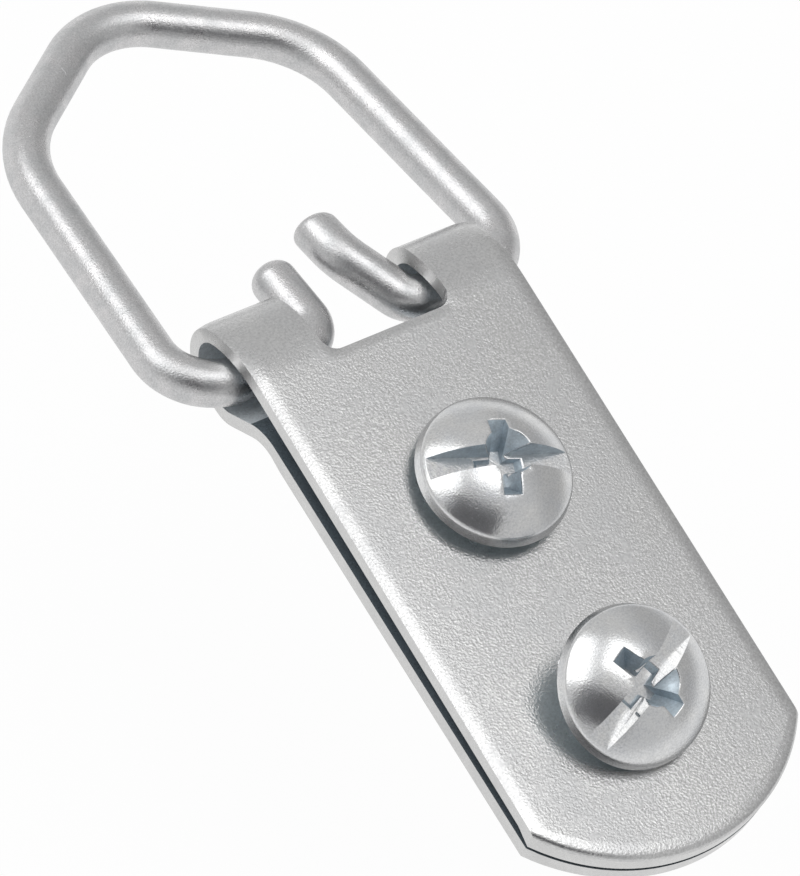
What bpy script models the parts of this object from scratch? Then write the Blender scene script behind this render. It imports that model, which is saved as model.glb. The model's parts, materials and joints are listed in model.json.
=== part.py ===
"""Strap hanger with a wire ring and two screws, for the back of a picture frame.

Metres, +Z up. The strap lies with its back leaf flat on z = 0, +X across it, +Y from its rounded end to the
ring and +Z out of its front. The origin is on the back leaf's outer face, midway between the two holes.
"""
from math import asin, ceil, cos, hypot, pi, radians, sin, sqrt, tan

import bmesh
import bpy
from mathutils import Matrix, Vector

MM = 0.001

# Strap: one strip, folded over the wire
STRAP_WIDTH = 15.875 * MM
SHEET = 0.82 * MM
LEAF_LENGTH = 25.69 * MM          # end corners to the notch
END_SAGITTA = 3.85 * MM           # how far the end's arc bows past its corners
LEAF_GAP = 0.49 * MM              # between the leaves at the end corners
LEAF_ANGLE = radians(1.5)         # the leaves open towards the ring
NOTCH_WIDTH = 7.48 * MM
NOTCH_FILLET = 0.8 * MM
LOWER_HOLE = 5.06 * MM            # end corners to the lower hole
HOLE_SPACING = 11.56 * MM

# Knuckle: the fold round the wire
HINGE_OFFSET = 1.74 * MM          # hinge axis past the notch
CREST_CLEARANCE = 0.69 * MM       # wire to the front leaf's inner face
LOOP_CLEARANCE = 0.36 * MM        # wire to the bottom of the fold
FOLD_CLEARANCE = 0.9 * MM         # wire to the end of the fold
CREST_TURN = radians(32)          # turned by the wide bend before the tight one
CREST_RATIO = 3.5                 # wide bend's radius over the tight one's
JOGGLE_LEAD = 0.48 * MM           # hinge axis to the joggle
JOGGLE_ANGLE = radians(41)
JOGGLE_LOW_RADIUS = 1.6 * MM
JOGGLE_HIGH_RADIUS = 2.48 * MM

# Ring: round wire, in its own plane with the hinge axis at zero
WIRE = 2.35 * MM
RING_SIDE_CLEARANCE = 1.12 * MM   # strap's side to the wire
RING_SIDE_HEIGHT = 16.94 * MM
RING_SHOULDER_INSET = 1.31 * MM
RING_ROOF_RISE = 6.1 * MM
RING_APEX_SHIFT = -0.34 * MM
RING_LEFT_DIP = 0.55 * MM         # left corner below the hinge axis
RING_RIGHT_DIP = 0.3 * MM
RING_BASE_LIFT = 0.12 * MM        # stubs' feet above the hinge axis
RING_CORNER_RADIUS = 2.9 * MM
RING_SHOULDER_RADIUS = 6.25 * MM
RING_APEX_RADIUS = 4.6 * MM
RING_SHIFT = -0.2 * MM            # sideways play taken up to the left
RING_ANGLE = radians(-12.4)       # how the ring hangs from the strap's plane

# Wire ends standing in the notch
STUB_BEND = 1.4 * MM
SHORT_STUB_CLEARANCE = 0.43 * MM
SHORT_STUB_HEIGHT = 4.94 * MM
LONG_STUB_INSET = 0.62 * MM       # foot inside the notch's side
LONG_STUB_KNEE = 3.59 * MM        # height of its second bend
LONG_STUB_KNEE_BEND = 3.0 * MM
STUB_GAP = 0.955 * MM             # between the short stub and the long one's knee
LONG_STUB_FORWARD = 0.9 * MM      # forward from its foot to its knee
LONG_STUB_TIP = 2.15 * MM         # knee to tip
LONG_STUB_TIP_SLANT = 0.2 * MM
LONG_STUB_TIP_FORWARD = 0.05 * MM
TIP_ROUND = 0.75 * MM

# Screw: pan head, slot and cross recess, threaded shank
HEAD = 7.9 * MM
HEAD_HEIGHT = 2.25 * MM
RIM_HEIGHT = 0.9 * MM
RIM_TAPER = 0.17 * MM
SLOT_WIDTH = 1.15 * MM
SLOT_DEPTH = 1.37 * MM
CROSS_SPAN = 4.4 * MM
CROSS_WIDTH = 0.95 * MM
CROSS_DEPTH = 1.75 * MM
CROSS_FLOOR_SPAN = 1.9 * MM
CROSS_FLOOR_WIDTH = 0.6 * MM
SCREW_LENGTH = 12.7 * MM
THREAD = 3.9 * MM
THREAD_ROOT = 2.8 * MM
THREAD_FLANK = 0.25               # share of the pitch on each side of the ridge
PITCH = 1.7 * MM
POINT_LENGTH = 3.6 * MM
POINT_TIP = 0.3 * MM
HOLE_CLEARANCE = 0.3 * MM
UPPER_LIFT = 0.7 * MM             # head's underside above the front leaf
UPPER_TURN = radians(-20)         # slot's direction from +X
LOWER_LEAN = radians(19)          # towards the strap's end
LOWER_SIDE_LEAN = radians(-3)
LOWER_LIFT = 0.2 * MM             # rim's lowest point above the front leaf
LOWER_TURN = radians(27)

# Facets
BEND_STEP = radians(8)
WIRE_STEP = radians(12)
WIRE_ROUNDNESS = 4
TIP_STEPS = 4
END_STEPS = 32
NOTCH_STEPS = 6
HOLE_SIDES = 40
SCREW_SIDES = 24
THREAD_STEPS = 6                  # rings in one pitch
DOME_STEPS = 6
SHARP_ANGLE = radians(30)
CUT_MARGIN = 1.0 * MM

# Worked out from the sizes above
WIRE_RADIUS = WIRE / 2
HALF_SHEET = SHEET / 2
HALF_WIDTH = STRAP_WIDTH / 2
ORIGIN_Y = LOWER_HOLE + HOLE_SPACING / 2
HINGE_Y = LEAF_LENGTH + HINGE_OFFSET
UPPER_HOLE = LOWER_HOLE + HOLE_SPACING


def front_top(y):
    """Height of the front leaf's outer face, y from the end corners."""
    return 2 * SHEET + LEAF_GAP + y * tan(LEAF_ANGLE)


HINGE_Z = front_top(HINGE_Y) - SHEET - CREST_CLEARANCE - WIRE_RADIUS
FOLD_BOTTOM = HINGE_Z - WIRE_RADIUS - LOOP_CLEARANCE - HALF_SHEET
FOLD_END = HINGE_Y + WIRE_RADIUS + FOLD_CLEARANCE + HALF_SHEET
HINGE = Vector((0, HINGE_Y - ORIGIN_Y, HINGE_Z))
STACK = front_top(UPPER_HOLE)
TOTAL_LEAN = hypot(LOWER_LEAN, LOWER_SIDE_LEAN)
HOLE = THREAD / cos(TOTAL_LEAN) + STACK * tan(TOTAL_LEAN) + 2 * HOLE_CLEARANCE


def clear_scene():
    for item in list(bpy.data.objects):
        bpy.data.objects.remove(item, do_unlink=True)


def make_material(name, colour, roughness):
    material = bpy.data.materials.new(name)
    material.use_nodes = True
    shader = material.node_tree.nodes["Principled BSDF"]
    shader.inputs["Base Color"].default_value = (*colour, 1)
    shader.inputs["Metallic"].default_value = 1
    shader.inputs["Roughness"].default_value = roughness
    return material


def add_object(name, data, material=None):
    item = bpy.data.objects.new(name, data)
    bpy.context.scene.collection.objects.link(item)
    if material:
        data.materials.append(material)
    return item


def mesh_from(build, name):
    """A mesh whose bmesh is filled by build, with its faces pointing out."""
    work = bmesh.new()
    build(work)
    bmesh.ops.recalc_face_normals(work, faces=work.faces)
    mesh = bpy.data.meshes.new(name)
    work.to_mesh(mesh)
    work.free()
    return mesh


def prism(outline, low, high):
    """Builder of a prism on an XY outline."""
    def build(work):
        floor = work.faces.new([work.verts.new((x, y, low)) for x, y in outline])
        raised = bmesh.ops.extrude_face_region(work, geom=[floor])["geom"]
        tops = [item for item in raised if isinstance(item, bmesh.types.BMVert)]
        bmesh.ops.translate(work, verts=tops, vec=(0, 0, high - low))
    return build


def cut(target, name, mesh):
    """Cut a mesh out of an object, in the object's own place."""
    cutter = add_object(name, mesh)
    cutter.matrix_world = target.matrix_world
    cutter.hide_render = True
    cutter.display_type = "WIRE"
    boolean = target.modifiers.new(name, "BOOLEAN")
    boolean.operation = "DIFFERENCE"
    boolean.solver = "EXACT"
    boolean.object = cutter


def arc_points(centre, radius, start, end, steps):
    angles = [start + (end - start) * i / steps for i in range(steps + 1)]
    return [(centre[0] + radius * cos(a), centre[1] + radius * sin(a)) for a in angles]


def strip_midline():
    """Stations (y, z, heading) along the strip's middle, front leaf's end to back leaf's end."""
    leaf_start = -END_SAGITTA - CUT_MARGIN
    wide_drop = cos(LEAF_ANGLE) - cos(CREST_TURN)
    crest_z = front_top(HINGE_Y) - HALF_SHEET
    reach = CREST_RATIO * (sin(LEAF_ANGLE) + sin(CREST_TURN)) - sin(CREST_TURN) + 1
    slope = tan(LEAF_ANGLE)
    drop = 1 + cos(CREST_TURN) + CREST_RATIO * wide_drop
    # The tight bend's radius closes the fold between the two leaves' heights
    tight = (crest_z - FOLD_BOTTOM + (FOLD_END - HINGE_Y) * slope) / (drop + reach * slope)
    wide = CREST_RATIO * tight
    crest_start = FOLD_END - reach * tight
    rise = HALF_SHEET - FOLD_BOTTOM
    bends = JOGGLE_LOW_RADIUS + JOGGLE_HIGH_RADIUS
    ramp = (rise - bends * (1 - cos(JOGGLE_ANGLE))) / sin(JOGGLE_ANGLE)
    stations = [(leaf_start, front_top(leaf_start) - HALF_SHEET, LEAF_ANGLE)]

    def straight(length):
        y, z, heading = stations[-1]
        stations.append((y + length * cos(heading), z + length * sin(heading), heading))

    def bend(radius, turn):
        y, z, heading = stations[-1]
        side = 1 if turn > 0 else -1
        steps = ceil(abs(turn) / BEND_STEP)
        for i in range(1, steps + 1):
            now = heading + turn * i / steps
            along = radius * side * (sin(now) - sin(heading))
            up = radius * side * (cos(heading) - cos(now))
            stations.append((y + along, z + up, now))

    straight((crest_start - leaf_start) / cos(LEAF_ANGLE))
    bend(wide, -CREST_TURN - LEAF_ANGLE)
    bend(tight, CREST_TURN - pi)
    straight(stations[-1][0] - (HINGE_Y - JOGGLE_LEAD))
    bend(JOGGLE_LOW_RADIUS, -JOGGLE_ANGLE)
    straight(ramp)
    bend(JOGGLE_HIGH_RADIUS, JOGGLE_ANGLE)
    straight(stations[-1][0] - leaf_start)
    return stations


def build_strip(work):
    """The folded strip before it is cut, full width."""
    rows = []
    for y, z, heading in strip_midline():
        row = []
        for x, side in ((-1, 1), (1, 1), (1, -1), (-1, -1)):
            across = y - side * HALF_SHEET * sin(heading) - ORIGIN_Y
            up = z + side * HALF_SHEET * cos(heading)
            row.append(work.verts.new((x * HALF_WIDTH, across, up)))
        rows.append(row)
    for here, there in zip(rows, rows[1:]):
        for i in range(4):
            j = (i + 1) % 4
            work.faces.new((here[i], here[j], there[j], there[i]))
    work.faces.new(rows[0])
    work.faces.new(rows[-1])


def end_outline():
    """Everything past the strap's arc-shaped end."""
    radius = (HALF_WIDTH ** 2 + END_SAGITTA ** 2) / (2 * END_SAGITTA)
    centre = (0, radius - END_SAGITTA - ORIGIN_Y)
    half = asin(HALF_WIDTH / radius) + CUT_MARGIN / radius
    arc = arc_points(centre, radius, -pi / 2 - half, -pi / 2 + half, END_STEPS)
    far = -ORIGIN_Y - END_SAGITTA - 2 * CUT_MARGIN
    return arc + [(HALF_WIDTH + 2 * CUT_MARGIN, far), (-HALF_WIDTH - 2 * CUT_MARGIN, far)]


def notch_outline():
    """The notch between the knuckles, with rounded bottom corners."""
    half = NOTCH_WIDTH / 2
    foot = LEAF_LENGTH - ORIGIN_Y
    top = FOLD_END + SHEET + CUT_MARGIN - ORIGIN_Y
    inner = half - NOTCH_FILLET
    left = arc_points((-inner, foot + NOTCH_FILLET), NOTCH_FILLET, pi, 1.5 * pi, NOTCH_STEPS)
    right = arc_points((inner, foot + NOTCH_FILLET), NOTCH_FILLET, -pi / 2, 0, NOTCH_STEPS)
    return left + right + [(half, top), (-half, top)]


def hole_outline(y):
    turns = arc_points((0, y - ORIGIN_Y), HOLE / 2, 0, 2 * pi, HOLE_SIDES)
    return turns[:-1]


def make_strap(material):
    strap = add_object("hanger_strap", mesh_from(build_strip, "hanger_strap"), material)
    low = FOLD_BOTTOM - SHEET - CUT_MARGIN
    high = front_top(HINGE_Y) + CUT_MARGIN
    outlines = {
        "cut_end": end_outline(),
        "cut_notch": notch_outline(),
        "cut_lower_hole": hole_outline(LOWER_HOLE),
        "cut_upper_hole": hole_outline(UPPER_HOLE),
    }
    for name, outline in outlines.items():
        cut(strap, name, mesh_from(prism(outline, low, high), name))
    return strap


def round_corners(corners, radii):
    """A path through the corners with each inner one rounded to its radius."""
    path = [corners[0]]
    for before, corner, after, radius in zip(corners, corners[1:], corners[2:], radii):
        inward = (before - corner).normalized()
        outward = (after - corner).normalized()
        angle = inward.angle(outward)
        middle = (inward + outward).normalized()
        centre = corner + middle * (radius / sin(angle / 2))
        first = corner + inward * (radius / tan(angle / 2)) - centre
        last = corner + outward * (radius / tan(angle / 2)) - centre
        steps = ceil((pi - angle) / WIRE_STEP)
        sweep = first.angle(last)
        for i in range(steps + 1):
            part = sweep * i / steps
            near = first * (sin(sweep - part) / sin(sweep))
            path.append(centre + near + last * (sin(part) / sin(sweep)))
    path.append(corners[-1])
    return path


def ring_path():
    """The wire's middle, in the ring's plane: x across, y away from the hinge, z forward."""
    base = HALF_WIDTH + RING_SIDE_CLEARANCE + WIRE_RADIUS
    shoulder = base - RING_SHOULDER_INSET
    roof = RING_SIDE_HEIGHT + RING_ROOF_RISE
    short_x = -NOTCH_WIDTH / 2 + SHORT_STUB_CLEARANCE + WIRE_RADIUS - RING_SHIFT
    long_x = NOTCH_WIDTH / 2 - LONG_STUB_INSET - RING_SHIFT
    knee = Vector((short_x + WIRE + STUB_GAP, LONG_STUB_KNEE, LONG_STUB_FORWARD))
    corners = [
        Vector((short_x, SHORT_STUB_HEIGHT, 0)),
        Vector((short_x, RING_BASE_LIFT, 0)),
        Vector((-base, -RING_LEFT_DIP, 0)),
        Vector((-shoulder, RING_SIDE_HEIGHT, 0)),
        Vector((RING_APEX_SHIFT, roof, 0)),
        Vector((shoulder, RING_SIDE_HEIGHT, 0)),
        Vector((base, -RING_RIGHT_DIP, 0)),
        Vector((long_x, RING_BASE_LIFT, 0)),
        knee,
        knee + Vector((-LONG_STUB_TIP_SLANT, LONG_STUB_TIP, LONG_STUB_TIP_FORWARD)),
    ]
    radii = [
        STUB_BEND, RING_CORNER_RADIUS, RING_SHOULDER_RADIUS, RING_APEX_RADIUS,
        RING_SHOULDER_RADIUS, RING_CORNER_RADIUS, STUB_BEND, LONG_STUB_KNEE_BEND,
    ]
    return round_corners(corners, radii)


def round_tips(path):
    """Each point of the path with the wire's share of its full thickness, rounded off at both tips."""
    def tip(end, before):
        back = (before - end).normalized()
        points = []
        for i in range(TIP_STEPS + 1):
            turn = pi / 2 * i / TIP_STEPS
            place = end + back * TIP_ROUND * (1 - cos(turn))
            points.append((place, 1 - TIP_ROUND / WIRE_RADIUS * (1 - sin(turn))))
        return points

    body = [(place, 1) for place in path[1:-1]]
    return tip(path[0], path[1]) + body + tip(path[-1], path[-2])[::-1]


def make_ring(material):
    path = round_tips(ring_path())
    curve = bpy.data.curves.new("d_ring", "CURVE")
    curve.dimensions = "3D"
    curve.bevel_depth = WIRE_RADIUS
    curve.bevel_resolution = WIRE_ROUNDNESS
    curve.use_fill_caps = True
    spline = curve.splines.new("POLY")
    spline.points.add(len(path) - 1)
    for point, (place, thickness) in zip(spline.points, path):
        point.co = (*place, 1)
        point.radius = thickness
    ring = add_object("d_ring", curve, material)
    place = Matrix.Translation(HINGE + Vector((RING_SHIFT, 0, 0)))
    ring.matrix_world = place @ Matrix.Rotation(RING_ANGLE, 4, "X")
    return ring


def thread_radius(depth, turn):
    """Shank's radius at a depth below the head and a turn round the axis from 0 to 1."""
    phase = (depth / PITCH + turn) % 1
    crest = max(0, 1 - abs(phase - 0.5) / THREAD_FLANK)
    left = SCREW_LENGTH - depth
    taper = min(1, left / POINT_LENGTH)
    runout = min(1, depth / PITCH)
    root = POINT_TIP + (THREAD_ROOT / 2 - POINT_TIP) * taper
    return root + crest * runout * sqrt(taper) * (THREAD - THREAD_ROOT) / 2


def build_screw(work):
    """One screw on +Z, its head's underside at zero."""
    steps = ceil((SCREW_LENGTH / PITCH) * THREAD_STEPS)
    depths = [SCREW_LENGTH * i / steps for i in range(steps, -1, -1)]
    profile = [lambda turn, d=d: (thread_radius(d, turn), -d) for d in depths]
    rim = HEAD / 2 - RIM_TAPER
    dome = HEAD_HEIGHT - RIM_HEIGHT
    profile.append(lambda turn: (HEAD / 2, 0))
    for i in range(DOME_STEPS):
        lift = pi / 2 * i / DOME_STEPS
        size = (rim * cos(lift), RIM_HEIGHT + dome * sin(lift))
        profile.append(lambda turn, size=size: size)
    rings = []
    for station in profile:
        row = []
        for i in range(SCREW_SIDES):
            radius, z = station(i / SCREW_SIDES)
            angle = 2 * pi * i / SCREW_SIDES
            row.append(work.verts.new((radius * cos(angle), radius * sin(angle), z)))
        rings.append(row)
    for here, there in zip(rings, rings[1:]):
        for i in range(SCREW_SIDES):
            j = (i + 1) % SCREW_SIDES
            work.faces.new((here[i], here[j], there[j], there[i]))
    crown = work.verts.new((0, 0, HEAD_HEIGHT))
    for i in range(SCREW_SIDES):
        work.faces.new((rings[-1][i], rings[-1][(i + 1) % SCREW_SIDES], crown))
    work.faces.new(rings[0])


def block(size_top, size_floor, low, high):
    """Builder of a tapered block: (x, y) sizes at its top and at its floor."""
    def build(work):
        corners = []
        for (x, y), z in ((size_floor, low), (size_top, high)):
            for i, j in ((-1, -1), (1, -1), (1, 1), (-1, 1)):
                corners.append(work.verts.new((i * x / 2, j * y / 2, z)))
        bmesh.ops.convex_hull(work, input=corners)
    return build


def make_screw(name, material, place):
    screw = add_object(name, mesh_from(build_screw, name), material)
    screw.matrix_world = place
    top = HEAD_HEIGHT + CUT_MARGIN
    grow = (top - HEAD_HEIGHT + CROSS_DEPTH) / CROSS_DEPTH
    span = CROSS_FLOOR_SPAN + (CROSS_SPAN - CROSS_FLOOR_SPAN) * grow
    width = CROSS_FLOOR_WIDTH + (CROSS_WIDTH - CROSS_FLOOR_WIDTH) * grow
    floor = HEAD_HEIGHT - CROSS_DEPTH
    slot = (HEAD + 2 * CUT_MARGIN, SLOT_WIDTH)
    cutters = {
        "slot": block(slot, slot, HEAD_HEIGHT - SLOT_DEPTH, top),
        "cross_along": block((span, width), (CROSS_FLOOR_SPAN, CROSS_FLOOR_WIDTH), floor, top),
        "cross_over": block((width, span), (CROSS_FLOOR_WIDTH, CROSS_FLOOR_SPAN), floor, top),
    }
    for part, build in cutters.items():
        cut(screw, f"cut_{name}_{part}", mesh_from(build, f"cut_{name}_{part}"))
    return screw


def upper_place():
    """The upper screw stands square to the front leaf."""
    foot = Vector((0, UPPER_HOLE - ORIGIN_Y, front_top(UPPER_HOLE)))
    stand = Matrix.Translation(foot) @ Matrix.Rotation(LEAF_ANGLE, 4, "X")
    return stand @ Matrix.Translation((0, 0, UPPER_LIFT)) @ Matrix.Rotation(UPPER_TURN, 4, "Z")


def lower_place():
    """The lower screw leans in its hole until its rim is close to the front leaf."""
    middle = front_top(LOWER_HOLE) / 2
    lean = Matrix.Rotation(LOWER_SIDE_LEAN, 4, "Y") @ Matrix.Rotation(LOWER_LEAN + LEAF_ANGLE, 4, "X")
    axis = lean.col[2].xyz
    leaf = Vector((0, -sin(LEAF_ANGLE), cos(LEAF_ANGLE)))
    along = axis.dot(leaf)
    drop = HEAD / 2 * sqrt(1 - along ** 2)
    rise = (middle * leaf.z + drop + LOWER_LIFT) / along
    foot = Vector((0, LOWER_HOLE - ORIGIN_Y, middle))
    turn = Matrix.Rotation(LOWER_TURN, 4, "Z")
    return Matrix.Translation(foot + axis * rise) @ lean @ turn


def main():
    clear_scene()
    plate = make_material("zinc_plate", (0.60, 0.60, 0.60), 0.42)
    wire = make_material("zinc_wire", (0.66, 0.66, 0.67), 0.28)
    bright = make_material("zinc_screw", (0.70, 0.70, 0.71), 0.22)
    make_strap(plate)
    make_ring(wire)
    make_screw("upper_screw", bright, upper_place())
    make_screw("lower_screw", bright.copy(), lower_place())
    for item in bpy.data.objects:
        if item.type == "MESH":
            item.data.shade_smooth()
            item.data.set_sharp_from_angle(angle=SHARP_ANGLE)


main()
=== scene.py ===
"""Strap hanger with a wire ring and two screws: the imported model's finished look, laid out as an add-on.

Metres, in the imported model's own frame: +X across the strap, +Y from its rounded end to the ring, +Z out of
its front.
"""
import json
from math import asin, ceil, cos, pi, radians, sin, sqrt, tan

import bmesh
import bpy
from bpy.props import FloatProperty, FloatVectorProperty, PointerProperty
from bpy.types import Operator, Panel, PropertyGroup
from mathutils import Matrix, Vector

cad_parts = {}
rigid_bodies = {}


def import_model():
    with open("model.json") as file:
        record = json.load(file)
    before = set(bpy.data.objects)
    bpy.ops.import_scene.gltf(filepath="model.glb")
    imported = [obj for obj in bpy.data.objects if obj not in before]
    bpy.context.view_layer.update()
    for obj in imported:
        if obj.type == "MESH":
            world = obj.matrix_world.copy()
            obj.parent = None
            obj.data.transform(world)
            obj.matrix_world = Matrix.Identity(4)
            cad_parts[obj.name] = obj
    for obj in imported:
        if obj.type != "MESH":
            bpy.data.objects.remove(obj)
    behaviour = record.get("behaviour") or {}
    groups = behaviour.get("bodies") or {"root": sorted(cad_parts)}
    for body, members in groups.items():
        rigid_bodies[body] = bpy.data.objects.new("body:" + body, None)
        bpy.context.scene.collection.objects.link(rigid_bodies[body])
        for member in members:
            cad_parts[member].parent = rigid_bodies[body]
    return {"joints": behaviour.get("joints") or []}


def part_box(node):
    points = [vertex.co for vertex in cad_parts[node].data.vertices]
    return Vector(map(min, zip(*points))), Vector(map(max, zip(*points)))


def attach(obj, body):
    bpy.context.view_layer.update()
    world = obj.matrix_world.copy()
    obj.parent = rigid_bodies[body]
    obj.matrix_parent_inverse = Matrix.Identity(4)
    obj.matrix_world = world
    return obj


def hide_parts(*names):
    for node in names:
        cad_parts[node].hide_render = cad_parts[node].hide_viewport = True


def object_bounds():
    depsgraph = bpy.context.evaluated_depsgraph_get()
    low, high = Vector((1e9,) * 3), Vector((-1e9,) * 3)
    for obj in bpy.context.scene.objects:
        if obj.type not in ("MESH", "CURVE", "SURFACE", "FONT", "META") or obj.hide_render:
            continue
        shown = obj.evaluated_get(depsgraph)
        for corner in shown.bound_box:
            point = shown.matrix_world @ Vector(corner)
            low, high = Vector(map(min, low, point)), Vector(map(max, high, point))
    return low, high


bl_info = {
    "name": "Strap Hanger",
    "version": (1, 0, 0),
    "blender": (4, 5, 0),
    "location": "3D View > Sidebar > Hanger",
    "description": "Builds a zinc-plated strap hanger with its wire ring, two screws and a plain studio",
    "category": "Mesh",
}

for leftover in list(bpy.data.objects):
    bpy.data.objects.remove(leftover, do_unlink=True)

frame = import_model()
CAD_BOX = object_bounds()

MM = 0.001
JOINTS = {joint["name"]: joint for joint in frame["joints"]}
HINGE = Vector(JOINTS["ring_hinge"]["pos_m"])
STRAP_LOW, STRAP_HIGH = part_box("hanger_strap")

BEND_STEP = radians(5)
SHARP_ANGLE = radians(38)
CUT_MARGIN = 1.0 * MM
MERGE_DISTANCE = 0.0005 * MM
# Weights that line up a cut mesh's points, edges and faces by where they are
LINE_UP = Vector((1, 1.618, 2.414))
# Half the side of a grid that is one metre wide
UNIT_GRID = 0.5
STRAP_SLIVER = 0.02 * MM
SCREW_SLIVER = 0.01 * MM

PROFILE_STEPS = 64
PROFILE_SPREAD = 1.7
ROLL_STEEPNESS = 2.4
# Share of the edge roll that is left on the back leaf
BACK_ROLL = 0.1
# Rows of the strip behind its ends and behind the notch, as shares of the roll's width there
END_ROWS = (0.03, 0.035, 0.045, 0.055, 0.07, 0.09, 0.11, 0.13, 0.15, 0.165, 0.12)
NOTCH_ROWS = (0.24, 0.2, 0.16, 0.13, 0.1, 0.08, 0.06, 0.03)
FILLET_STEPS = 10
HOLE_SIDES = 72

WIRE_SIDES = 40
TIP_SHEAR = radians(-9)
SHORT_TIP_STEPS = 8
LONG_TIP_STEPS = 5

HEAD_STEPS = 96
DOME_STEPS = 16
RIM_STEPS = 3
THREAD_STEPS = 40
# Turns of thread above the head's underside, before the shank is cut to length
THREAD_LEAD = 2
# Corners of one pitch of the thread: whether each lies on the crest, and its share of the pitch
THREAD_PROFILE = ((False, 0.25), (True, 0.46), (True, 0.54), (False, 0.75), (False, 1.0))
FLARE_SIDES = 26
# The flare's radius at its foot over the wings' width, and its foot's height over the recess's depth
FLARE_FOOT = 0.8
FLARE_LIFT = 0.1
# Least upright part of a level face's normal
LEVEL = 0.9
RIM_ANGLE = radians(25)
RIM_REACH = 4
BURR_STEPS = 2

PHOTO_LONG_SIDE = 876
PHOTO_FOCAL_PIXELS = 6000
SENSOR = 36
NEAR_CLIP = 0.01
FLOOR_WIDTH = 8
FLOOR_COLOUR = (0.92, 0.92, 0.92, 1)
DRAPE_COLOUR = (0.16, 0.16, 0.17, 1)
WHITE = (1, 1, 1, 1)
# Stretches of the room's direction, upwards and to the right, over which it turns grey and dims
PALE_BAND = (0.02, 0.14)
DIM_BAND = (0.48, 0.78)
# Azimuth from +Y towards +X and elevation in degrees, then distance, width and height in metres
OVERHEAD_SPOT = (55, 81.5, 0.32, 0.19, 0.19)
SIDE_SPOT = (-43, 43, 0.7, 0.59, 0.5)
DRAPE_SPOT = (-130, 45, 0.75, 0.8, 0.5)

# What a plating looks like where a finish says nothing else
PLAIN_LOOK = {
    "grain": 0.1 * MM, "contrast": 0.12, "mark_width": 0.08 * MM, "mark_turn": radians(60), "metal": 1,
}
MARK_STRETCH = 12

# Places of the strap's and the screws' finishes in their material lists
SHEARED, FACE, INSIDE, KNUCKLE = range(4)
HEAD, SLOT, WALL, CROSS, UNDER = range(5)


def length(name, description, millimetres):
    """A size in metres, shown in the scene's units."""
    return FloatProperty(
        name=name, description=description, default=millimetres * MM, unit="LENGTH", precision=5,
    )


def turn(name, description, degrees):
    return FloatProperty(name=name, description=description, default=radians(degrees), unit="ROTATION")


def share(name, description, value):
    return FloatProperty(name=name, description=description, default=value, min=0, max=1, subtype="FACTOR")


def level(name, description, value):
    return FloatProperty(name=name, description=description, default=value, min=0)


def colour(name, description, red, green, blue):
    return FloatVectorProperty(
        name=name, description=description, default=(red, green, blue), min=0, max=1, subtype="COLOR",
    )


class HangerStrapSizes(PropertyGroup):
    sheet: length("Sheet", "Thickness of the strap's sheet steel", 0.82)
    leaf_length: length("Leaf length", "From the end's corners to the notch", 25.69)
    end_bow: length("End bow", "How far the rounded end bows past its corners", 3.85)
    leaf_gap: length("Leaf gap", "Gap between the leaves at the end's corners", 0.49)
    leaf_angle: turn("Leaf angle", "How the leaves open towards the ring", 1.5)
    notch_width: length("Notch width", "Width of the notch between the knuckles", 7.48)
    notch_fillet: length("Notch fillet", "Radius in the notch's corners", 0.8)
    lower_hole: length("Lower hole", "From the end's corners to the lower hole", 5.06)
    hole_spacing: length("Hole spacing", "Between the centres of the two holes", 11.56)
    hole: length("Hole", "Diameter of both holes", 5.63)
    crest_turn: turn("Crest turn", "Turned by the knuckle's wide bend before its tight one", 32)
    crest_ratio: level("Crest ratio", "Wide bend's radius over the tight one's", 3.5)
    joggle_lead: length("Joggle lead", "From the hinge axis to the back leaf's step", 0.48)
    joggle_angle: turn("Joggle angle", "Slope of the back leaf's step", 41)
    joggle_low_radius: length("Low joggle radius", "Bend at the foot of the step", 1.6)
    joggle_high_radius: length("High joggle radius", "Bend at the head of the step", 2.48)
    roll_width: length("Edge roll width", "Width of the edge that the shearing rolled over", 0.95)
    roll_drop: length("Edge roll drop", "How far the rolled edge drops", 0.105)
    round_width: length("End round width", "Width of the tight round at the front leaf's end", 0.28)
    round_drop: length("End round drop", "How far the tight round drops", 0.2)
    notch_roll: length("Notch roll width", "Width of the notch's edge that the punching rolled over", 0.6)
    notch_drop: length("Notch roll drop", "How far the notch's rolled edge drops", 0.14)
    end_reach: length("End reach", "How far the leaves' ends reach past the plain model's", 0.08)
    # The knuckles' inside, from here on, takes the pale painted light.
    knuckle_inside: length("Knuckle inside", "How far behind the hinge axis the knuckles' inside starts", 2)
    lip_gap: length("Lip gap", "Gap left under the front leaf's dragged end", 0.2)
    lip_width: length("Lip width", "Width of the front leaf's dragged end", 0.6)


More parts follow.
